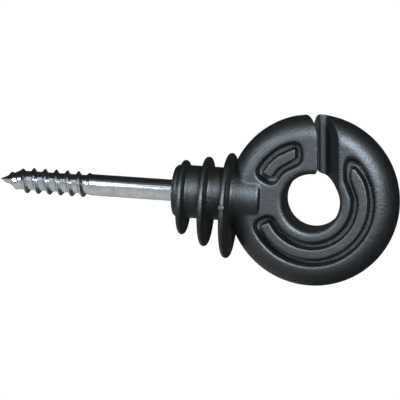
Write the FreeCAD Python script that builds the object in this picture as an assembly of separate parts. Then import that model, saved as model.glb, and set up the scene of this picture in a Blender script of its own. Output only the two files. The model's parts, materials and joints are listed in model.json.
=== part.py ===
"""Screw-in ring insulator for an electric fence.

Frame, in millimetres: the origin is the centre of the wire eye, halfway through the ring.
+X runs along the screw, from its point towards the ring. +Y is the axis of the eye.
+Z points up, out of the top of the ring, where the wire goes in.

Two pieces: a moulded plastic body, and the steel wood screw that is moulded into its neck.
"""

import FreeCAD, Part
import math
import os

from FreeCAD import Placement, Rotation, Vector

# ---- Driving dimensions -------------------------------------------------------------------

# Ring
RING_OD = 40.0
RING_THICKNESS = 10.0
EYE_DIAMETER = 13.0
EYE_LIP_RADIUS = 1.4

# Entry slot. Its two halves meet at mid thickness, and the back one slants the other way, so a
# straight wire can't fall out of the eye. A half's near wall is the one it narrows towards.
SLOT_FRONT_NEAR = 1.5       # near wall at the front face, past the slot's line
SLOT_BACK_NEAR = 0.8        # near wall at the back face, past the slot's line the other way
SLOT_PASSAGE_HALF = 1.4     # half the free gap at mid thickness
SLOT_LEDGE = 1.6            # step at mid thickness beside the gap
SLOT_LEAN = 3.0             # degrees, towards the screw

# Groove loops sunk into both faces of the ring, each around an island
ISLAND_INNER_RADIUS = 10.85
ISLAND_OUTER_RADIUS = 13.15
GROOVE_WIDTH = 1.45
GROOVE_DEPTH = 3.5
LOOP_NECK_GAP = 28.0        # degrees, from the screw's axis to the end of an island
NEAR_WALL_LAND = 5.0        # from the slot's near wall to the end of the island beside it
FAR_WALL_LAND = 2.7         # from the slot's far wall to the end of the island beside it

# Neck
NECK_DIAMETER = 12.3
NECK_LENGTH = 12.7          # from the ring's rim to the end face on the screw's side
NECK_TO_EYE = 5.5           # plastic between the neck's inner end and the eye's wall
NECK_START_ROUND = 1.4
NECK_END_ROUND = 0.6

# Drip flanges, from the screw to the ring: each hangs lower than it stands up
FLANGE_THICKNESS = 1.5
LAST_FLANGE_OVERLAP = 0.3   # how far the last flange stands inside the ring's rim
FLANGE_SPACING = 5.3
FLANGE_DIAMETERS = (17.4, 20.9, 24.5)
FLANGE_DROPS = (1.4, 2.05, 2.65)

# Mould marks
GATE_DIAMETER = 1.5
GATE_HEIGHT = 0.25
GATE_RISE = 5.7             # degrees above the flange's own middle, on its front
MARK_DIAMETER = 0.7
MARK_HEIGHT = 0.15
MARK_PITCH = 1.1
MARK_COUNT = 3
MARK_DROP = 10.0            # degrees below the neck's middle line
SUNK = 0.5                  # how far a raised mark reaches into what carries it

# Screw
SHANK_DIAMETER = 5.0
BARE_SHANK = 19.5           # from the neck's end face to the end of the thread
THREAD_LENGTH = 21.7        # from the point to the end of the thread
THREAD_DIAMETER = 6.0
THREAD_CORE = 4.4
THREAD_PITCH = 2.65
CREST_WIDTH = 0.25
FLANK_WIDTH = 1.5
POINT_LENGTH = 4.6
FIRST_CREST_AT = 3.2        # from the point to the first crest, and its radius there
FIRST_CREST_R = 2.1
CREST_FULL_AT = 6.4         # from the point to where the crests are full
LAST_CREST_BACK = 0.5       # from the end of the thread to the last crest on top
RUNOUT_LENGTH = 1.2
RIDGE_ROOT_R = 0.5          # how deep the ridge reaches, to join the tapered point
RIDGE_TAPER = 0.05          # degrees, before the crests are trimmed
BURIED_LENGTH = 19.2
KEY_LENGTH = 8.0
KEY_WIDTH = 3.6             # across the two pressed flats
NECKED_DIAMETER = 4.0
NECKED_LENGTH = 2.0
NECKED_OFFSET = 4.0         # from the neck's end face to the necked ring
SHANK_END_CHAMFER = 0.4

# ---- Worked out from them -----------------------------------------------------------------

RING_R = RING_OD / 2
HALF_T = RING_THICKNESS / 2
EYE_R = EYE_DIAMETER / 2
NECK_R = NECK_DIAMETER / 2
NECK_START = -(RING_R + NECK_LENGTH)
NECK_END = -(EYE_R + NECK_TO_EYE)
SHANK_R = SHANK_DIAMETER / 2
CORE_R = THREAD_CORE / 2
CREST_R = THREAD_DIAMETER / 2
THREAD_END = NECK_START - BARE_SHANK
POINT_END = THREAD_END - THREAD_LENGTH
LAST_CREST = THREAD_END - LAST_CREST_BACK
SHANK_END = NECK_START + BURIED_LENGTH
SLOT_MID_FAR = SLOT_PASSAGE_HALF + SLOT_LEDGE
CLEAR = 2.0                 # how far a cutting body reaches past what it cuts

ORIGIN = Vector(0, 0, 0)
ALONG = Vector(1, 0, 0)
THROUGH = Vector(0, 1, 0)
UP = Vector(0, 0, 1)


# ---- Helpers ------------------------------------------------------------------------------

def line(a, b):
    return Part.LineSegment(a, b).toShape()


def arc(a, middle, b):
    return Part.Arc(a, middle, b).toShape()


def turned(edges, centre, axis):
    """A solid made by a full turn of the closed outline about an axis."""
    return Part.Face(Part.Wire(edges)).revolve(centre, axis, 360)


def polygon_face(points):
    return Part.Face(Part.makePolygon(points + [points[0]]))


def on_circle(radius, angle, y=0.0):
    """A point on a circle about the eye, at degrees from +X towards +Z."""
    a = math.radians(angle)
    return Vector(radius * math.cos(a), y, radius * math.sin(a))


# ---- Moulded body -------------------------------------------------------------------------

def ring():
    """The ring: a straight eye wall with rounded lips, flat faces and a full round rim."""
    lip = EYE_LIP_RADIUS
    flat_from = EYE_R + lip
    flat_to = RING_R - HALF_T
    corner = lip * math.sin(math.radians(45))
    wall = HALF_T - lip
    front_lip = arc(Vector(EYE_R, -wall, 0),
                    Vector(flat_from - corner, -wall - corner, 0),
                    Vector(flat_from, -HALF_T, 0))
    back_lip = arc(Vector(flat_from, HALF_T, 0),
                   Vector(flat_from - corner, wall + corner, 0),
                   Vector(EYE_R, wall, 0))
    rim = arc(Vector(flat_to, -HALF_T, 0), Vector(RING_R, 0, 0), Vector(flat_to, HALF_T, 0))
    outline = [front_lip,
               line(Vector(flat_from, -HALF_T, 0), Vector(flat_to, -HALF_T, 0)),
               rim,
               line(Vector(flat_to, HALF_T, 0), Vector(flat_from, HALF_T, 0)),
               back_lip,
               line(Vector(EYE_R, wall, 0), Vector(EYE_R, -wall, 0))]
    return turned(outline, ORIGIN, THROUGH)


def neck():
    """The neck around the screw, which runs on into the ring and bulges from its faces."""
    length = NECK_END - NECK_START
    solid = Part.makeCylinder(NECK_R, length, Vector(NECK_START, 0, 0), ALONG)
    for x, radius in ((NECK_START, NECK_START_ROUND), (NECK_END, NECK_END_ROUND)):
        rims = [e for e in solid.Edges if len(e.Vertexes) == 1 and abs(e.CenterOfMass.x - x) < 0.01]
        solid = solid.makeFillet(radius, rims)
    return solid


def flange(x, radius, drop):
    """A thin disc across the neck, with a full round rim, hung off centre."""
    half = FLANGE_THICKNESS / 2
    centre = Vector(x, 0, -drop)
    straight = radius - half
    foot_left = centre + Vector(-half, 0, 0)
    foot_right = centre + Vector(half, 0, 0)
    rim_left = foot_left + UP * straight
    rim_right = foot_right + UP * straight
    outline = [line(foot_left, rim_left),
               arc(rim_left, centre + UP * radius, rim_right),
               line(rim_right, foot_right),
               line(foot_right, foot_left)]
    return turned(outline, centre, ALONG)


def flange_places():
    """Where each flange is: its x, its radius and its drop."""
    first = LAST_FLANGE_OVERLAP - RING_R - FLANGE_SPACING * (len(FLANGE_DIAMETERS) - 1)
    return [(first + i * FLANGE_SPACING, d / 2, drop)
            for i, (d, drop) in enumerate(zip(FLANGE_DIAMETERS, FLANGE_DROPS))]


def outward_peg(centre, angle, radius, diameter, height):
    """A low round peg that stands on a cylinder about X, at degrees below its front line."""
    a = math.radians(angle)
    outward = Vector(0, -math.cos(a), -math.sin(a))
    foot = centre + outward * (radius - SUNK)
    return Part.makeCylinder(diameter / 2, SUNK + height, foot, outward)


def mould_marks():
    """The gate's stub on the last flange, and a row of plain dots on the neck beside it."""
    places = flange_places()
    x, radius, drop = places[-1]
    gate = outward_peg(Vector(x, 0, -drop), -GATE_RISE, radius, GATE_DIAMETER, GATE_HEIGHT)
    middle = (places[-2][0] + x) / 2
    first = middle - MARK_PITCH * (MARK_COUNT - 1) / 2
    dots = [outward_peg(Vector(first + i * MARK_PITCH, 0, 0), MARK_DROP, NECK_R,
                        MARK_DIAMETER, MARK_HEIGHT)
            for i in range(MARK_COUNT)]
    return [gate] + dots


def leaned(shape):
    """Turn a shape about the eye's axis by the slot's lean."""
    return shape.transformed(Placement(ORIGIN, Rotation(THROUGH, -SLOT_LEAN)).toMatrix())


def half_slot(near):
    """The front half of a slot that is alike on both faces, before it leans."""
    past = (HALF_T + CLEAR) / HALF_T
    near_slope = near + SLOT_PASSAGE_HALF
    far_slope = EYE_R - SLOT_MID_FAR
    plan = polygon_face([Vector(SLOT_MID_FAR, 0, 0),
                         Vector(-SLOT_PASSAGE_HALF, 0, 0),
                         Vector(near_slope * past - SLOT_PASSAGE_HALF, -HALF_T - CLEAR, 0),
                         Vector(SLOT_MID_FAR + far_slope * past, -HALF_T - CLEAR, 0)])
    return plan.extrude(UP * (RING_R + CLEAR))


def slot():
    """The wire's way in, from above the rim down into the eye."""
    half_turn = Placement(ORIGIN, Rotation(UP, 180)).toMatrix()
    back = half_slot(SLOT_BACK_NEAR).transformed(half_turn)
    return leaned(half_slot(SLOT_FRONT_NEAR).fuse(back).removeSplitter())


def sector(start, end, inner, outer, y):
    """A flat piece of a ring about the eye, between two angles in degrees."""
    middle = (start + end) / 2
    edges = [arc(on_circle(inner, start, y), on_circle(inner, middle, y), on_circle(inner, end, y)),
             line(on_circle(inner, end, y), on_circle(outer, end, y)),
             arc(on_circle(outer, end, y), on_circle(outer, middle, y), on_circle(outer, start, y)),
             line(on_circle(outer, start, y), on_circle(inner, start, y))]
    return Part.Face(Part.Wire(edges))


def island(start, end, trim, keep_right):
    """A raised strip between two angles, ended beside the slot by a line that leans with it."""
    whole = sector(start, end, ISLAND_INNER_RADIUS, ISLAND_OUTER_RADIUS, 0)
    reach = 2 * RING_R
    low, high = (trim, reach) if keep_right else (-reach, trim)
    beside_slot = leaned(polygon_face([Vector(low, 0, -reach), Vector(high, 0, -reach),
                                       Vector(high, 0, reach), Vector(low, 0, reach)]))
    below = polygon_face([Vector(-reach, 0, -reach), Vector(reach, 0, -reach),
                          Vector(reach, 0, 0), Vector(-reach, 0, 0)])
    wanted = beside_slot.fuse(below).removeSplitter() if keep_right else beside_slot
    return whole.common(wanted).Faces[0]


def loop_cut(strip, side):
    """The body that cuts the groove around an island, on the front (-1) or back (+1) face."""
    groove = strip.makeOffset2D(GROOVE_WIDTH).cut(strip)
    groove.translate(THROUGH * side * (HALF_T - GROOVE_DEPTH))
    return groove.extrude(THROUGH * side * (GROOVE_DEPTH + CLEAR))


def grooves():
    """A short and a long loop on the front face, and one long loop on the back face."""
    neck_low = 180 + LOOP_NECK_GAP
    past_slot = 360 + 90
    short = island(90 - SLOT_LEAN, 180 - LOOP_NECK_GAP, SLOT_FRONT_NEAR - NEAR_WALL_LAND, False)
    long = island(neck_low, past_slot, EYE_R + FAR_WALL_LAND, True)
    back = island(neck_low, past_slot, NEAR_WALL_LAND - SLOT_BACK_NEAR, True)
    return [loop_cut(short, -1), loop_cut(long, -1), loop_cut(back, 1)]


def insulator_body(blank):
    """The moulding, formed around the screw's unthreaded blank."""
    solid = ring().fuse([neck()] + [flange(*place) for place in flange_places()] + mould_marks())
    solid = solid.removeSplitter()
    for cut in [slot()] + grooves():
        solid = solid.cut(cut)
    return solid.cut(blank).removeSplitter()


# ---- Screw --------------------------------------------------------------------------------

def thread_envelope():
    """A turned body that the thread stays inside: crests grow at the point and run out."""
    outline = [Vector(POINT_END, 0, 0),
               Vector(POINT_END + FIRST_CREST_AT, 0, FIRST_CREST_R),
               Vector(POINT_END + CREST_FULL_AT, 0, CREST_R),
               Vector(THREAD_END - RUNOUT_LENGTH, 0, CREST_R),
               Vector(THREAD_END, 0, SHANK_R),
               Vector(THREAD_END, 0, 0)]
    return polygon_face(outline).revolve(ORIGIN, ALONG, 360)


def thread():
    """The right-hand helical ridge. It is made a little high, then trimmed to the envelope."""
    turns = math.ceil((LAST_CREST - POINT_END) / THREAD_PITCH) + 1
    start = LAST_CREST - (turns - 0.5) * THREAD_PITCH
    crest = CREST_WIDTH / 2
    flank = FLANK_WIDTH / 2
    slope = (flank - crest) / (CREST_R - CORE_R)
    raw_r = CREST_R + crest / slope / 2
    half = [Vector(raw_r, 0, crest / 2), Vector(CORE_R, 0, flank), Vector(RIDGE_ROOT_R, 0, flank)]
    other = [Vector(p.x, 0, -p.z) for p in reversed(half)]
    section = Part.makePolygon(half + other + [half[0]])
    helix = Part.makeLongHelix(THREAD_PITCH, (turns + 1) * THREAD_PITCH, raw_r, RIDGE_TAPER)
    ridge = Part.Wire(helix).makePipeShell([section], True, True)
    ridge = ridge.transformed(Placement(Vector(start, 0, 0), Rotation(THROUGH, 90)).toMatrix())
    return ridge.common(thread_envelope())


def core():
    """The turned blank under the thread, the plain shank and the end inside the plastic."""
    necked_from = NECK_START + NECKED_OFFSET
    necked_to = necked_from + NECKED_LENGTH
    necked_r = NECKED_DIAMETER / 2
    end = SHANK_END
    chamfer = SHANK_END_CHAMFER
    outline = [Vector(POINT_END, 0, 0),
               Vector(POINT_END + POINT_LENGTH, 0, CORE_R),
               Vector(THREAD_END - RUNOUT_LENGTH, 0, CORE_R),
               Vector(THREAD_END, 0, SHANK_R),
               Vector(necked_from, 0, SHANK_R),
               Vector(necked_from, 0, necked_r),
               Vector(necked_to, 0, necked_r),
               Vector(necked_to, 0, SHANK_R),
               Vector(end - chamfer, 0, SHANK_R),
               Vector(end, 0, SHANK_R - chamfer),
               Vector(end, 0, 0)]
    blank = polygon_face(outline).revolve(ORIGIN, ALONG, 360)
    for side in (-1, 1):
        low = min(side * KEY_WIDTH / 2, side * SHANK_DIAMETER)
        flat = Part.makeBox(KEY_LENGTH + CLEAR, SHANK_DIAMETER - KEY_WIDTH / 2, 2 * SHANK_DIAMETER,
                            Vector(end - KEY_LENGTH, low, -SHANK_DIAMETER))
        blank = blank.cut(flat)
    return blank


def screw_shank(blank):
    return blank.fuse(thread()).removeSplitter()


# ---- Build --------------------------------------------------------------------------------

def main():
    os.makedirs("parts", exist_ok=True)
    blank = core()
    nodes = {"screw_shank": screw_shank(blank), "insulator_body": insulator_body(blank)}
    for name, shape in nodes.items():
        box = shape.optimalBoundingBox()
        print(name, "solids", len(shape.Solids), "valid", shape.isValid(),
              "volume", round(shape.Volume, 1),
              "x", round(box.XMin, 2), round(box.XMax, 2),
              "y", round(box.YMin, 2), round(box.YMax, 2),
              "z", round(box.ZMin, 2), round(box.ZMax, 2))
        shape.exportStep("parts/" + name + ".step")


main()
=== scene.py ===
# %% [markdown]
# # A screw-in ring insulator for an electric fence
# The CAD model gives every size and place, in metres, with its origin at the centre of the
# wire eye, +X along the screw and +Z up through the entry slot. This script dresses that model:
# it makes a soft-edged black moulding and a zinc-plated wood screw, with their finishes.
# The frame comes first, and its box is kept.

# %% Load the frame
import json
import math

import bmesh
import bpy
from mathutils import Matrix, Vector


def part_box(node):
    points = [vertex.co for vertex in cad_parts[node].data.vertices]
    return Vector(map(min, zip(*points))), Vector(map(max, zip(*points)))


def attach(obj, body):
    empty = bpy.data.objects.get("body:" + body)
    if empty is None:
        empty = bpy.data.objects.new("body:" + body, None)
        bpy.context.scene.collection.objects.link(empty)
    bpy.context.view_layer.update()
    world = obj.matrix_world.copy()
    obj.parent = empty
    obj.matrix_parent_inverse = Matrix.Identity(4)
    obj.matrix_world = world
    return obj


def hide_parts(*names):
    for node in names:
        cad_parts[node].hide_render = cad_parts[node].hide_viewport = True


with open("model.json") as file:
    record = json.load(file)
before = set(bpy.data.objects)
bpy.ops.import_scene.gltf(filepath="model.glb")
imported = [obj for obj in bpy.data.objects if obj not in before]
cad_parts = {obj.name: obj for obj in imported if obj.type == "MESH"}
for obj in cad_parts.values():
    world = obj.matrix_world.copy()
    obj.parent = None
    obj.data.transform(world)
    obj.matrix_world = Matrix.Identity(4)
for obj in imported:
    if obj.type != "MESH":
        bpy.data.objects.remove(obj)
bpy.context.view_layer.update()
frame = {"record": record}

MM = 0.001

# %% [markdown]
# ## Sizes
# The frame's mounts say how large the eye and the thread are, and the nodes' boxes say where the
# neck and the screw begin and end. What the frame doesn't hold, such as the groove's width, is
# written here once, in metres. Angles are in degrees from +X towards +Z, about the eye.

# %% Sizes from the frame
mounts = {m["name"]: m for m in frame["record"]["mounts"]}
body_low, body_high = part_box("insulator_body")
screw_low, screw_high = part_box("screw_shank")

EYE_R = mounts["wire_eye"]["dims"]["r_mm"] * MM
EYE_WALL = mounts["wire_eye"]["dims"]["length_mm"] * MM
CREST_R = mounts["wood_screw"]["dims"]["r_mm"] * MM
THREAD_END = mounts["wood_screw"]["pos_m"][0]
RING_R = body_high[0]
NECK_START = body_low[0]
POINT_END = screw_low[0]
SHANK_END = screw_high[0]
print("ring radius, mm:", round(RING_R / MM, 2), " eye radius, mm:", round(EYE_R / MM, 2))

# %% Sizes of the details
HALF_T = 5.0 * MM              # half the ring's thickness
LIP_R = HALF_T - EYE_WALL / 2  # rounding of the eye's lips
NECK_R = 6.15 * MM
NECK_END = -12.0 * MM
NECK_START_ROUND = 1.4 * MM
NECK_END_ROUND = 0.6 * MM
FLANGE_HALF = 0.75 * MM        # half a drip flange's thickness
FLANGES = ((-30.3 * MM, 8.7 * MM, 1.4 * MM),      # x, radius, drop below the screw's axis
           (-25.0 * MM, 10.45 * MM, 2.05 * MM),
           (-19.7 * MM, 12.25 * MM, 2.65 * MM))

SLOT_FRONT_NEAR = 1.6 * MM
SLOT_BACK_NEAR = 0.8 * MM
SLOT_PASSAGE_HALF = 1.4 * MM
SLOT_MID_FAR = 3.0 * MM
SLOT_LEAN = 3.0                # degrees, towards the screw

ISLAND_IN = 10.85 * MM
ISLAND_OUT = 13.15 * MM
GROOVE_W = 1.45 * MM
GROOVE_DEPTH = 3.5 * MM
CORNER = 0.45 * MM             # corner radius of an island
SHARP_TIP = 0.75 * MM          # the same at the long loop's pointed end
SHOULDER_W = 0.35 * MM         # soft step round the outside of a groove
SHOULDER_DEPTH = 0.3 * MM
ISLAND_ROOT = 0.3 * MM         # how far an island reaches below the groove's floor
NECK_GAP = 28.0                # from the screw's axis to the end of an island
SHORT_TRIM = -3.5 * MM         # where the short island ends beside the slot
LONG_TRIM = 9.2 * MM           # where the long island ends on the slot's other side
BACK_TRIM = 4.2 * MM           # where the back face's island ends beside the slot

SHANK_R = 2.5 * MM
CORE_R = 2.2 * MM
PITCH = 2.65 * MM

# %% [markdown]
# ## Camera
# A long lens some way off keeps the ring round and the flanges nearly flat. The camera stands a
# little to the right and above, and is rolled slightly, so that the screw slopes down to the ring.

# %% Camera


def facing(azimuth, elevation):
    """The way out to degrees of azimuth and elevation, and the turn that looks back along it."""
    az, el = math.radians(azimuth), math.radians(elevation)
    back = Vector((math.sin(az) * math.cos(el), -math.cos(az) * math.cos(el), math.sin(el)))
    return back, back.to_track_quat("Z", "Y").to_matrix().to_4x4()


def place_camera(azimuth, elevation, roll, distance, lens, aim):
    """A camera that looks at a point from degrees of azimuth and elevation, then rolls."""
    data = bpy.data.cameras.new("camera")
    data.lens = lens
    data.clip_start = 0.01
    camera = bpy.data.objects.new("camera", data)
    bpy.context.collection.objects.link(camera)
    back, turn = facing(azimuth, elevation)
    roll_turn = Matrix.Rotation(math.radians(roll), 4, "Z")
    camera.matrix_world = Matrix.Translation(aim + back * distance) @ turn @ roll_turn
    bpy.context.scene.camera = camera


place_camera(8.9, 9.0, 2.565, 0.837, 324.9, Vector((-26.52 * MM, 0.0, -1.83 * MM)))

# %% [markdown]
# ## Helpers for modelling
# Everything turned, such as the ring, the neck and the flanges, is an outline spun about an axis,
# as on a lathe. An arc is a few points from a formula. A finished bmesh becomes an object whose
# origin stays at the row's origin, with its faces pointing outwards.

# %% Helpers
STEPS = 192                    # segments round a full turn
WELD = 0.001 * MM


def arc(u, v, radius, start, end, count=8):
    """Points on a circle about (u, v), between two angles in degrees."""
    angles = [math.radians(start + (end - start) * i / count) for i in range(count + 1)]
    return [(u + radius * math.cos(a), v + radius * math.sin(a)) for a in angles]


def spun(bm, points, centre, axis, closed, steps=STEPS):
    """Spin an outline a full turn about an axis, and weld the seam and the poles."""
    verts = [bm.verts.new(p) for p in points]
    ends = verts[1:] + verts[:1] if closed else verts[1:]
    edges = [bm.edges.new(pair) for pair in zip(verts, ends)]
    bmesh.ops.spin(bm, geom=verts + edges, cent=centre, axis=axis, dvec=(0, 0, 0),
                   angle=2 * math.pi, steps=steps, use_merge=True, use_duplicate=False)
    bmesh.ops.remove_doubles(bm, verts=bm.verts, dist=WELD)
    bmesh.ops.dissolve_degenerate(bm, dist=WELD, edges=bm.edges)


def as_object(name, bm):
    """A new object made from a bmesh, with its faces outward."""
    bmesh.ops.recalc_face_normals(bm, faces=bm.faces)
    mesh = bpy.data.meshes.new(name)
    bm.to_mesh(mesh)
    bm.free()
    obj = bpy.data.objects.new(name, mesh)
    bpy.context.collection.objects.link(obj)
    return obj


def lean(bm):
    """Turn a bmesh about the eye by the slot's lean, towards the screw."""
    turn = Matrix.Rotation(math.radians(-SLOT_LEAN), 3, "Y")
    bmesh.ops.rotate(bm, cent=(0, 0, 0), matrix=turn, verts=bm.verts)


# %% [markdown]
# ## The moulding's solid parts
# The ring is one closed outline spun about the eye's axis: straight eye wall, rounded lips, flat
# faces and a full round rim. The neck and the flanges are spun about the screw's axis, and each
# flange about its own lower centre, because the flanges hang down further than they stand up.

# %% Ring, neck and flanges


def make_ring():
    rim_at = RING_R - HALF_T
    lip_at = EYE_R + LIP_R
    wall = EYE_WALL / 2
    outline = arc(lip_at, -wall, LIP_R, 180, 270) + arc(rim_at, 0, HALF_T, -90, 90, 32)
    outline += arc(lip_at, wall, LIP_R, 90, 180)
    bm = bmesh.new()
    spun(bm, [(r, y, 0) for r, y in outline], (0, 0, 0), (0, 1, 0), closed=True)
    return as_object("ring", bm)


def make_neck():
    start, end = NECK_START_ROUND, NECK_END_ROUND
    outline = [(NECK_START, 0)] + arc(NECK_START + start, NECK_R - start, start, 180, 90)
    outline += arc(NECK_END - end, NECK_R - end, end, 90, 0) + [(NECK_END, 0)]
    bm = bmesh.new()
    spun(bm, [(x, 0, r) for x, r in outline], (0, 0, 0), (1, 0, 0), closed=False)
    return as_object("neck", bm)


def make_flange(x, radius, drop):
    outline = [(x - FLANGE_HALF, 0)] + arc(x, radius - FLANGE_HALF, FLANGE_HALF, 180, 0, 12)
    outline += [(x + FLANGE_HALF, 0)]
    bm = bmesh.new()
    spun(bm, [(u, 0, r - drop) for u, r in outline], (0, 0, -drop), (1, 0, 0), closed=False)
    return as_object("flange", bm)


solids = [make_ring(), make_neck()] + [make_flange(*place) for place in FLANGES]
print("solid parts of the moulding:", [o.name for o in solids])

# %% [markdown]
# ## What is cut away
# The entry slot is a channel with an S-shaped plan. Its front half and back half slant opposite
# ways, so a straight wire can't slip out. It is one face pushed upwards.
#
# Each groove runs all the way round a raised island. A pocket as large as the groove's outer
# outline is cut first, and a wider, very shallow one gives it a soft shoulder. The island then goes
# back into the pocket as a block of its own. All three come from one outline, grown by a different
# amount. An inset face would be shorter, but it folds over itself at the tight corners.

# %% Cutters
REACH = 2.0 * MM               # how far a cutter stands out of the ring


def make_slot():
    past = (HALF_T + REACH) / HALF_T
    far = SLOT_MID_FAR + (EYE_R - SLOT_MID_FAR) * past
    plan = []
    for near, way in ((SLOT_FRONT_NEAR, 1), (SLOT_BACK_NEAR, -1)):
        near_reach = (near + SLOT_PASSAGE_HALF) * past - SLOT_PASSAGE_HALF
        half = [(near_reach, -HALF_T - REACH), (far, -HALF_T - REACH), (SLOT_MID_FAR, 0),
                (SLOT_PASSAGE_HALF, 0)]
        plan += [(way * x, way * y) for x, y in half]
    bm = bmesh.new()
    floor = bm.faces.new([bm.verts.new((x, y, 0)) for x, y in plan])
    raised = bmesh.ops.extrude_face_region(bm, geom=[floor])["geom"]
    top = [v for v in raised if isinstance(v, bmesh.types.BMVert)]
    bmesh.ops.translate(bm, verts=top, vec=(0, 0, RING_R + REACH))
    lean(bm)
    return as_object("slot", bm)


def strip_outline(spread, neck_angle, neck_way, trim, slot_way):
    """The outline of a curved strip, grown on all sides by a spread.

    One end is square to the strip, at an angle beside the neck. The other is cut by a line
    beside the slot. The ways, 1 or -1, say in which direction each end grows. The last stretch
    before each corner is straight, so that the corner has room to be rounded.
    """
    outline = []
    for radius in (ISLAND_IN - spread, ISLAND_OUT + spread):
        start = neck_angle + neck_way * math.degrees(math.asin(spread / radius))
        end = math.degrees(math.acos((trim + slot_way * spread) / radius))
        end += 360 if neck_angle > 180 else 0
        way = 1 if end > start else -1
        from_start = start + way * math.degrees(NECK_END_RUN / radius)
        to_end = end - way * math.degrees(SLOT_END_RUN / radius)
        side = arc(0, 0, radius, start, start, 1)[:1] + arc(0, 0, radius, from_start, to_end, 64)
        side += arc(0, 0, radius, end, end, 1)[:1]
        outline += side if not outline else side[::-1]
    return outline


def round_corner(bm, corner, radius):
    """Round one corner of a flat face to a radius."""
    arms = [edge.other_vert(corner).co - corner.co for edge in corner.link_edges]
    reach = radius / math.tan(arms[0].angle(arms[1]) / 2)
    bmesh.ops.bevel(bm, geom=[corner], offset=reach, segments=8, profile=0.5,
                    affect="VERTICES", material=-1)


def make_block(name, outline, side, depth, height, radii):
    """A block standing in the front (-1) or back (+1) face, its four corners rounded."""
    half = len(outline) // 2
    bm = bmesh.new()
    verts = [bm.verts.new((x, side * (HALF_T - depth), z)) for x, z in outline]
    bm.faces.new(verts)
    corners = [verts[i] for i in (0, half - 1, half, len(outline) - 1)]
    for corner, radius in zip(corners, radii):
        round_corner(bm, corner, radius)
    raised = bmesh.ops.extrude_face_region(bm, geom=list(bm.faces))["geom"]
    top = [v for v in raised if isinstance(v, bmesh.types.BMVert)]
    bmesh.ops.translate(bm, verts=top, vec=(0, side * (depth + height), 0))
    lean(bm)
    return as_object(name, bm)


NECK_END_RUN = 2.4 * MM
SLOT_END_RUN = 4.4 * MM
neck_low = 180 + NECK_GAP - SLOT_LEAN
neck_high = 180 - NECK_GAP - SLOT_LEAN
strips = ((neck_high, 1, SHORT_TRIM, 1, -1, CORNER),
          (neck_low, -1, LONG_TRIM, -1, -1, SHARP_TIP),
          (neck_low, -1, BACK_TRIM, -1, 1, CORNER))
cutters = [make_slot()]
islands = []
for neck_angle, neck_way, trim, slot_way, side, tip in strips:
    for spread, depth in ((GROOVE_W, GROOVE_DEPTH), (GROOVE_W + SHOULDER_W, SHOULDER_DEPTH)):
        outline = strip_outline(spread, neck_angle, neck_way, trim, slot_way)
        radii = [spread + radius for radius in (CORNER, CORNER, tip, CORNER)]
        cutters.append(make_block("pocket", outline, side, depth, REACH, radii))
    outline = strip_outline(0, neck_angle, neck_way, trim, slot_way)
    radii = (CORNER, CORNER, tip, CORNER)
    islands.append(make_block("island", outline, side, GROOVE_DEPTH + ISLAND_ROOT, 0, radii))
print("cutters:", [o.name for o in cutters], " islands:", len(islands))

# %% [markdown]
# ## One soft-edged moulding
# The parts are joined and the cutters taken away with booleans, which leaves razor edges that no
# moulding has. Remeshing on a fine grid and smoothing it rounds each edge by about the same small
# radius, as the mould does. A bevel would need clean edge loops, and booleans don't leave those.

# %% Join, cut and soften
GRID = 0.15 * MM
SOFTENING = 24
FACES_KEPT = 0.23


def make_cavity():
    """Where the screw's shank sits in the moulding."""
    length = SHANK_END - NECK_START + REACH
    bm = bmesh.new()
    bmesh.ops.create_cone(bm, cap_ends=True, segments=96, radius1=SHANK_R, radius2=SHANK_R,
                          depth=length)
    turn = Matrix.Rotation(math.radians(90), 4, "Y")
    place = Matrix.Translation((SHANK_END - length / 2, 0, 0))
    bmesh.ops.transform(bm, matrix=place @ turn, verts=bm.verts)
    return as_object("cavity", bm)


def combine(obj, others, operation):
    for other in others:
        boolean = obj.modifiers.new(other.name, "BOOLEAN")
        boolean.operation = operation
        boolean.solver = "MANIFOLD"
        boolean.object = other


def applied(obj, name):
    """The object as its modifiers leave it, as a new plain object."""
    graph = bpy.context.evaluated_depsgraph_get()
    mesh = bpy.data.meshes.new_from_object(obj.evaluated_get(graph))
    done = bpy.data.objects.new(name, mesh)
    bpy.context.collection.objects.link(done)
    return done


def discard(objects):
    for obj in objects:
        bpy.data.objects.remove(obj)


cutters.append(make_cavity())
moulding = solids[0]
combine(moulding, solids[1:], "UNION")
combine(moulding, cutters, "DIFFERENCE")
combine(moulding, islands, "UNION")
grid = moulding.modifiers.new("grid", "REMESH")
grid.mode = "VOXEL"
grid.voxel_size = GRID
soft = moulding.modifiers.new("soft", "SMOOTH")
soft.factor = 0.5
soft.iterations = SOFTENING
fewer = moulding.modifiers.new("fewer", "DECIMATE")
fewer.ratio = FACES_KEPT
body = applied(moulding, "moulding")
discard(solids + cutters + islands)
print("moulding faces:", len(body.data.polygons))

for polygon in body.data.polygons:
    polygon.use_smooth = True

# %% [markdown]
# ## Mould marks
# The plastic was injected at a small stub on the last flange. A row of three plain dots stands on
# the neck beside it. They are too low to live through the smoothing, so each is a short turned
# button, spun on its own and joined to the finished moulding.

# %% Gate stub and dots
GATE = (0.75 * MM, 0.25 * MM, -5.7)       # radius, height, degrees below the middle line
DOT = (0.35 * MM, 0.15 * MM, 10.0)
DOT_PITCH = 1.1 * MM
SUNK = 0.4 * MM


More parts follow.
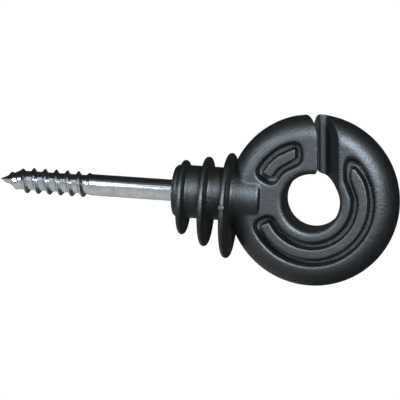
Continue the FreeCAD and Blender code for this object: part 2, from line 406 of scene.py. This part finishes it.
def add_button(bm, x, drop, carrier_r, size):
    """A domed button that stands out of a cylinder about X, on its front."""
    radius, height, angle = size
    edge = height * 0.8
    outline = [(radius, -SUNK), (radius, height - edge)]
    outline += arc(radius - edge, height - edge, edge, 0, 90, 6)[1:] + [(0, height)]
    part = bmesh.new()
    spun(part, [(0, 0, -SUNK)] + [(u, 0, v) for u, v in outline], (0, 0, 0), (0, 0, 1),
         closed=False, steps=32)
    bmesh.ops.recalc_face_normals(part, faces=part.faces)
    turn = Matrix.Rotation(math.radians(90 + angle), 4, "X")
    place = Matrix.Translation((x, 0, -drop)) @ turn @ Matrix.Translation((0, 0, carrier_r))
    bmesh.ops.transform(part, matrix=place, verts=part.verts)
    mesh = bpy.data.meshes.new("button")
    part.to_mesh(mesh)
    part.free()
    bm.from_mesh(mesh)
    bpy.data.meshes.remove(mesh)


marks = bmesh.new()
marks.from_mesh(body.data)
last_x, last_r, last_drop = FLANGES[-1]
add_button(marks, last_x, last_drop, last_r, GATE)
dots_x = (FLANGES[-2][0] + last_x) / 2
for i in (-1, 0, 1):
    add_button(marks, dots_x + i * DOT_PITCH, 0, NECK_R, DOT)
for face in marks.faces:
    face.smooth = True
marks.to_mesh(body.data)
marks.free()
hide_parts("insulator_body")
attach(body, "root")

# %% [markdown]
# ## Black plastic
# The moulding is a black polyolefin with a satin skin. Up close the skin is faintly mottled, where
# the melt met the mould unevenly, and it carries light scuffs from the carton. Both effects are
# groups that put out a mask. The mottle serves the zinc plate too, at other scales.
#
# The colour is written about ten times darker than such a plastic really is, to balance the strong
# lamps further down. It is not a colour to reuse: under plain light it should be near 0.03.

# %% Shared surface groups


def new_group(name, inputs):
    """A shader node group with number inputs and one number output called Mask."""
    group = bpy.data.node_groups.new(name, "ShaderNodeTree")
    for label, value in inputs:
        socket = group.interface.new_socket(label, in_out="INPUT", socket_type="NodeSocketFloat")
        socket.default_value = value
    group.interface.new_socket("Mask", in_out="OUTPUT", socket_type="NodeSocketFloat")
    return group, group.nodes.new("NodeGroupInput"), group.nodes.new("NodeGroupOutput")


def link(tree, pairs):
    for source, target in pairs:
        tree.links.new(source, target)


def mottle_group():
    """Soft cloudy variation: a coarse noise with a finer one laid over it."""
    group, given, result = new_group("mottle", (("Scale", 300.0), ("Fine Scale", 1500.0),
                                                ("Fine Share", 0.4)))
    place = group.nodes.new("ShaderNodeTexCoord")
    coarse = group.nodes.new("ShaderNodeTexNoise")
    fine = group.nodes.new("ShaderNodeTexNoise")
    coarse.inputs["Detail"].default_value = 4.0
    fine.inputs["Detail"].default_value = 3.0
    mix = group.nodes.new("ShaderNodeMix")
    mix.data_type = "FLOAT"
    link(group, ((place.outputs["Object"], coarse.inputs["Vector"]),
                 (place.outputs["Object"], fine.inputs["Vector"]),
                 (given.outputs["Scale"], coarse.inputs["Scale"]),
                 (given.outputs["Fine Scale"], fine.inputs["Scale"]),
                 (given.outputs["Fine Share"], mix.inputs["Factor"]),
                 (coarse.outputs["Fac"], mix.inputs["A"]),
                 (fine.outputs["Fac"], mix.inputs["B"]),
                 (mix.outputs["Result"], result.inputs["Mask"])))
    return group


def scuff_group():
    """Sparse fine scratches: a stretched noise, kept only where it is highest."""
    group, given, result = new_group("scuffs", (("Scale", 200.0), ("Stretch", 12.0),
                                                ("Threshold", 0.66)))
    place = group.nodes.new("ShaderNodeTexCoord")
    squeeze = group.nodes.new("ShaderNodeCombineXYZ")
    scaled = group.nodes.new("ShaderNodeVectorMath")
    scaled.operation = "MULTIPLY"
    bend = group.nodes.new("ShaderNodeMapping")
    bend.inputs["Rotation"].default_value = (0.0, 0.6, 0.3)
    noise = group.nodes.new("ShaderNodeTexNoise")
    noise.inputs["Detail"].default_value = 2.0
    noise.inputs["Distortion"].default_value = 0.6
    keep = group.nodes.new("ShaderNodeMapRange")
    keep.inputs["From Max"].default_value = 0.8
    squeeze.inputs["X"].default_value = 1.0
    squeeze.inputs["Y"].default_value = 1.0
    link(group, ((place.outputs["Object"], bend.inputs["Vector"]),
                 (bend.outputs["Vector"], scaled.inputs[0]),
                 (given.outputs["Stretch"], squeeze.inputs["Z"]),
                 (squeeze.outputs["Vector"], scaled.inputs[1]),
                 (scaled.outputs["Vector"], noise.inputs["Vector"]),
                 (given.outputs["Scale"], noise.inputs["Scale"]),
                 (noise.outputs["Fac"], keep.inputs["Value"]),
                 (given.outputs["Threshold"], keep.inputs["From Min"]),
                 (keep.outputs["Result"], result.inputs["Mask"])))
    return group


MOTTLE = mottle_group()
SCUFFS = scuff_group()


def new_material(name):
    material = bpy.data.materials.new(name)
    material.use_nodes = True
    tree = material.node_tree
    return material, tree, tree.nodes["Principled BSDF"]


def placed(tree, group, **values):
    """A group put into a material, with its own values."""
    node = tree.nodes.new("ShaderNodeGroup")
    node.node_tree = group
    for label, value in values.items():
        node.inputs[label.replace("_", " ")].default_value = value
    return node


def numbers(tree, operation, first, second):
    """A Math node, fed by a socket and by another socket or a plain number."""
    node = tree.nodes.new("ShaderNodeMath")
    node.operation = operation
    tree.links.new(first, node.inputs[0])
    if isinstance(second, (int, float)):
        node.inputs[1].default_value = second
    else:
        tree.links.new(second, node.inputs[1])
    return node.outputs["Value"]


def ramp(tree, value, low, high, start=0.0, stop=1.0):
    """One number below a value, another above it, and smooth in between."""
    node = tree.nodes.new("ShaderNodeMapRange")
    node.interpolation_type = "SMOOTHSTEP"
    for label, number in (("From Min", low), ("From Max", high), ("To Min", start),
                          ("To Max", stop)):
        node.inputs[label].default_value = number
    tree.links.new(value, node.inputs["Value"])
    return node.outputs["Result"]


def between(tree, mask, low, high):
    """A number that runs from low to high as a mask runs from 0 to 1."""
    node = tree.nodes.new("ShaderNodeMapRange")
    node.inputs["To Min"].default_value = low
    node.inputs["To Max"].default_value = high
    tree.links.new(mask, node.inputs["Value"])
    return node.outputs["Result"]


def blended(tree, mask, low, high):
    """A colour that runs from low to high as a mask runs from 0 to 1."""
    node = tree.nodes.new("ShaderNodeMix")
    node.data_type = "RGBA"
    node.inputs["A"].default_value = (*low, 1)
    node.inputs["B"].default_value = (*high, 1)
    tree.links.new(mask, node.inputs["Factor"])
    return node.outputs["Result"]


def bumped(tree, shader, height, distance, strength=1.0):
    node = tree.nodes.new("ShaderNodeBump")
    node.inputs["Distance"].default_value = distance
    node.inputs["Strength"].default_value = strength
    link(tree, ((height, node.inputs["Height"]), (node.outputs["Normal"], shader.inputs["Normal"])))


# %% Black plastic


def black_plastic():
    material, tree, shader = new_material("black_plastic")
    mottle = placed(tree, MOTTLE, Scale=600.0, Fine_Scale=2800.0, Fine_Share=0.55).outputs["Mask"]
    scuffs = placed(tree, SCUFFS, Scale=260.0, Stretch=9.0, Threshold=0.64).outputs["Mask"]
    colour = blended(tree, mottle, (0.0008, 0.0008, 0.0004), (0.004, 0.004, 0.003))
    link(tree, ((colour, shader.inputs["Base Color"]),
                (between(tree, mottle, 0.36, 0.58), shader.inputs["Roughness"])))
    height = tree.nodes.new("ShaderNodeMath")
    height.operation = "MULTIPLY_ADD"
    height.inputs[1].default_value = -0.3
    link(tree, ((scuffs, height.inputs[0]), (mottle, height.inputs[2])))
    bumped(tree, shader, height.outputs["Value"], 0.12 * MM)
    return material


body.data.materials.clear()
body.data.materials.append(black_plastic())

# %% [markdown]
# ## The wood screw
# The screw is rolled wire with a thread and a gimlet point. A thread is an outline of one pitch
# that turns and moves along the axis at once, which is what spin does when it is given a step.
# The straight thread is then drawn in to the point and drawn out to the shank, by moving every
# vertex between the core's radius and the crests' at its place. The plain shank is extruded on.

# %% Thread, point and shank
TURN_STEPS = 64
CREST_HALF = 0.125 * MM
FLANK_HALF = 0.75 * MM
POINT_LENGTH = 4.6 * MM
FIRST_CREST_AT, FIRST_CREST_R = 3.2 * MM, 2.1 * MM
CREST_FULL_AT = 6.4 * MM
RUNOUT = 1.2 * MM
LAST_CREST_BACK = 0.5 * MM
TIP_R = 0.05 * MM
CHAMFER = 0.4 * MM


def along(x, stations):
    """The radius at x, on straight lines between stations of x and radius."""
    for (x0, r0), (x1, r1) in zip(stations, stations[1:]):
        if x <= x1:
            return r0 + (r1 - r0) * max(x - x0, 0) / (x1 - x0)
    return stations[-1][1]


def make_screw():
    core = ((POINT_END, 0), (POINT_END + POINT_LENGTH, CORE_R), (THREAD_END - RUNOUT, CORE_R),
            (THREAD_END, SHANK_R))
    crests = ((POINT_END, 0), (POINT_END + FIRST_CREST_AT, FIRST_CREST_R),
              (POINT_END + CREST_FULL_AT, CREST_R), (THREAD_END - RUNOUT, CREST_R),
              (THREAD_END, SHANK_R))
    turns = math.ceil((THREAD_END - POINT_END) / PITCH) + 2
    start = THREAD_END - LAST_CREST_BACK - (turns - 1.5) * PITCH
    profile = ((0, CORE_R), (PITCH / 2 - FLANK_HALF, CORE_R), (PITCH / 2 - CREST_HALF, CREST_R),
               (PITCH / 2 + CREST_HALF, CREST_R), (PITCH / 2 + FLANK_HALF, CORE_R),
               (PITCH, CORE_R))
    bm = bmesh.new()
    verts = [bm.verts.new((start + x, 0, r)) for x, r in profile]
    edges = [bm.edges.new(pair) for pair in zip(verts, verts[1:])]
    bmesh.ops.spin(bm, geom=verts + edges, cent=(0, 0, 0), axis=(1, 0, 0),
                   dvec=(PITCH / TURN_STEPS, 0, 0), angle=2 * math.pi * turns,
                   steps=TURN_STEPS * turns, use_duplicate=False)
    bmesh.ops.remove_doubles(bm, verts=bm.verts, dist=WELD)
    for x, outward in ((POINT_END + TIP_R, -1), (THREAD_END, 1)):
        bmesh.ops.bisect_plane(bm, geom=list(bm.verts) + list(bm.edges) + list(bm.faces),
                               plane_co=(x, 0, 0), plane_no=(outward, 0, 0), clear_outer=True)
    for vert in bm.verts:
        inner, outer = along(vert.co.x, core), along(vert.co.x, crests)
        share = (vert.co.yz.length - CORE_R) / (CREST_R - CORE_R)
        vert.co.yz *= (inner + share * (outer - inner)) / vert.co.yz.length
    for x, radius in ((SHANK_END - CHAMFER, SHANK_R), (SHANK_END, SHANK_R - CHAMFER)):
        rim = [e for e in bm.edges if e.is_boundary and e.verts[0].co.x > THREAD_END - WELD]
        moved = bmesh.ops.extrude_edge_only(bm, edges=rim)["geom"]
        for vert in [v for v in moved if isinstance(v, bmesh.types.BMVert)]:
            vert.co.x = x
            vert.co.yz *= radius / vert.co.yz.length
    bmesh.ops.holes_fill(bm, edges=[e for e in bm.edges if e.is_boundary], sides=0)
    bmesh.ops.dissolve_degenerate(bm, dist=WELD, edges=bm.edges)
    for face in bm.faces:
        face.smooth = True
    for edge in bm.edges:
        edge.smooth = edge.calc_face_angle(0) < math.radians(35)
    return as_object("wood_screw", bm)


screw = make_screw()
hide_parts("screw_shank")
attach(screw, "root")
print("screw faces:", len(screw.data.polygons))

# %% [markdown]
# ## Zinc plate
# Bright zinc over rolled steel is a mirror with fine lengthwise drawing marks, a blotchy
# passivation film that shifts from blue-grey to straw, and small dark specks. The drawing marks
# are a noise stretched along the axis. Metallic is plain 1, so the rest is colour, roughness
# and a shallow bump.

# %% Zinc plate


def zinc_plate():
    material, tree, shader = new_material("plated_steel")
    shader.inputs["Metallic"].default_value = 1.0
    blotches = placed(tree, MOTTLE, Scale=420.0, Fine_Scale=1400.0, Fine_Share=0.35)
    specks = placed(tree, MOTTLE, Scale=2600.0, Fine_Scale=5200.0, Fine_Share=0.5)
    film = ramp(tree, blotches.outputs["Mask"], 0.38, 0.66)
    colour = blended(tree, film, (0.56, 0.60, 0.65), (0.74, 0.74, 0.70))
    dark = ramp(tree, specks.outputs["Mask"], 0.34, 0.42, 0.60, 1.0)
    specked = tree.nodes.new("ShaderNodeMix")
    specked.data_type = "RGBA"
    specked.blend_type = "MULTIPLY"
    specked.inputs["Factor"].default_value = 1.0
    link(tree, ((colour, specked.inputs["A"]), (dark, specked.inputs["B"]),
                (specked.outputs["Result"], shader.inputs["Base Color"])))
    place = tree.nodes.new("ShaderNodeTexCoord")
    squeeze = tree.nodes.new("ShaderNodeMapping")
    squeeze.inputs["Scale"].default_value = (0.05, 1.0, 1.0)
    drawn = tree.nodes.new("ShaderNodeTexNoise")
    drawn.inputs["Scale"].default_value = 2500.0
    drawn.inputs["Detail"].default_value = 3.0
    link(tree, ((place.outputs["Object"], squeeze.inputs["Vector"]),
                (squeeze.outputs["Vector"], drawn.inputs["Vector"])))
    rough = numbers(tree, "ADD", between(tree, drawn.outputs["Fac"], 0.07, 0.17),
                    between(tree, blotches.outputs["Mask"], 0.0, 0.06))
    tree.links.new(rough, shader.inputs["Roughness"])
    height = numbers(tree, "ADD", drawn.outputs["Fac"], blotches.outputs["Mask"])
    bumped(tree, shader, height, 0.03 * MM)
    return material


screw.data.materials.append(zinc_plate())

# %% [markdown]
# ## Stage
# The object hangs well above a floor, so that its shadow falls clear of it. Rays straight from the
# camera see plain white everywhere. What a reflection sees is a dark room, with a dim part in front
# and a soft glow on the floor under the screw, which fills the lower half of the bright steel. A
# world that is white all round is simpler, but it washes out the edges of black plastic.

# %% Floor and world
FLOOR_Z = -200 * MM
AMBIENT = 0.25                 # how brightly the room lights the object from all round
ROOM = 0.02                    # how bright the room's sides look in a reflection
ROOM_FRONT = 0.34              # and the part of the room in front
ROOM_BEHIND = 0.08             # and the part straight behind
GLOW_IN_FRONT = 0.5            # how bright the floor under the screw looks in a reflection
GLOW_BEHIND = 0.35             # and the floor further back
GLOW_LEFT_AT_RING = 0.05       # the share of that glow which reaches the ring


def white_where_seen(tree, in_reflections):
    """1 for the camera and through glass, and a given share of that for a glossy surface."""
    path = tree.nodes.new("ShaderNodeLightPath")
    direct = numbers(tree, "MAXIMUM", path.outputs["Is Camera Ray"],
                     path.outputs["Is Transmission Ray"])
    mirrored = numbers(tree, "MULTIPLY", path.outputs["Is Glossy Ray"], in_reflections)
    return numbers(tree, "MAXIMUM", direct, mirrored)


def part_of(tree, output, axis):
    """One part of a texture coordinate: a place on a surface, or a direction in the world."""
    place = tree.nodes.new("ShaderNodeTexCoord")
    split = tree.nodes.new("ShaderNodeSeparateXYZ")
    tree.links.new(place.outputs[output], split.inputs["Vector"])
    return split.outputs[axis]


bm = bmesh.new()
bmesh.ops.create_grid(bm, x_segments=1, y_segments=1, size=4.0)
bmesh.ops.translate(bm, verts=bm.verts, vec=(0, 0, FLOOR_Z))
floor = as_object("floor", bm)
material, tree, shader = new_material("pale_floor")
shader.inputs["Base Color"].default_value = (0.05, 0.05, 0.05, 1)
shader.inputs["Roughness"].default_value = 0.8
shader.inputs["Specular IOR Level"].default_value = 0.0
shader.inputs["Emission Color"].default_value = (1, 1, 1, 1)
below = ramp(tree, part_of(tree, "Object", "Y"), 0.0, 0.3, GLOW_IN_FRONT, GLOW_BEHIND)
under_screw = ramp(tree, part_of(tree, "Object", "X"), -0.06, -0.03, 1.0, GLOW_LEFT_AT_RING)
below = numbers(tree, "MULTIPLY", below, under_screw)
tree.links.new(white_where_seen(tree, below), shader.inputs["Emission Strength"])
floor.data.materials.append(material)

world = bpy.data.worlds.new("world")
bpy.context.scene.world = world
world.use_nodes = True
tree = world.node_tree
direction = part_of(tree, "Generated", "Y")
in_front = ramp(tree, direction, -0.90, -0.3, ROOM_FRONT, ROOM)
behind = ramp(tree, direction, 0.80, 1.0, 0.0, ROOM_BEHIND)
glossy = tree.nodes.new("ShaderNodeLightPath").outputs["Is Glossy Ray"]
not_glossy = numbers(tree, "MULTIPLY", numbers(tree, "SUBTRACT", glossy, 1.0), -AMBIENT)
room = numbers(tree, "ADD", not_glossy, numbers(tree, "MULTIPLY", glossy, in_front))
strength = numbers(tree, "MAXIMUM", room, white_where_seen(tree, behind))
background = tree.nodes["Background"]
background.inputs["Color"].default_value = (1, 1, 1, 1)
tree.links.new(strength, background.inputs["Strength"])
bpy.context.scene.view_settings.view_transform = "Standard"

# %% [markdown]
# ## Lamps
# A small strong softbox stands above and to the right, and a weaker one above and to the left. Black
# plastic shows hardly any colour of its own, so these two reflections draw its shape. They are far
# enough round for the screw not to mirror them. A strip overhead gives the screw its bright line.
#
# They are too bright to copy. A matt surface facing the camera renders at about one and a half to
# three times its written value, and bluer. A plain level would need the plastic's true colour back.

# %% Softboxes


def softbox(name, azimuth, elevation, distance, width, height, glow, tint=(1, 1, 1)):
    """A lamp with a given radiance, facing the ring from degrees of azimuth and elevation."""
    data = bpy.data.lights.new(name, "AREA")
    data.shape = "RECTANGLE"
    data.size = width
    data.size_y = height
    data.energy = glow * math.pi * width * height
    data.color = tint
    lamp = bpy.data.objects.new(name, data)
    bpy.context.collection.objects.link(lamp)
    back, turn = facing(azimuth, elevation)
    lamp.matrix_world = Matrix.Translation(back * distance) @ turn


COOL = (0.74, 0.87, 1.0)
softbox("key", 16, 22, 0.42, 0.10, 0.10, 172.0, COOL)
softbox("left", -38, 18, 0.42, 0.10, 0.10, 60.0, COOL)
softbox("strip", -9, 40, 0.50, 0.30, 0.04, 1.6, COOL)
